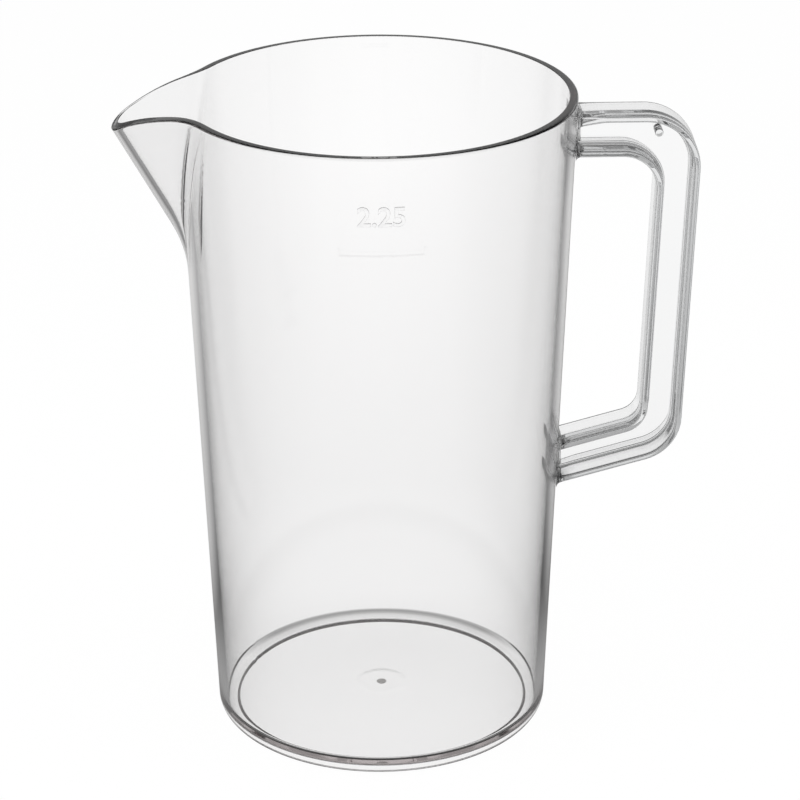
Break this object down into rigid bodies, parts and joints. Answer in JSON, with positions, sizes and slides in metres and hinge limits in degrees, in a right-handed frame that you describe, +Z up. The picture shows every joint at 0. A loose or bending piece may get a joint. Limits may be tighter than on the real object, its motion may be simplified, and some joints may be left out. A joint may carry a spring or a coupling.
{
  "type": "jug",
  "caption": "Clear plastic jug with a straight tapered wall, a pinched pouring spout with a falling lip, and a bonded loop handle of I-section.",
  "frame": {"origin": "on the table, under the middle of the whole jug; the round body's own axis stands 9.9 mm from it, toward the spout", "axes": "+Z up through the mouth, +X from the spout to the handle, +Y across the handle"},
  "size_m": [0.2012, 0.1368, 0.233],
  "materials": {
    "body_plastic": "clear, polished by the mould",
    "handle_plastic": "clear, polished by the mould"
  },
  "bodies": {
    "root": {"jug_body": "body_plastic", "handle": "handle_plastic"}
  },
  "joints": []
}
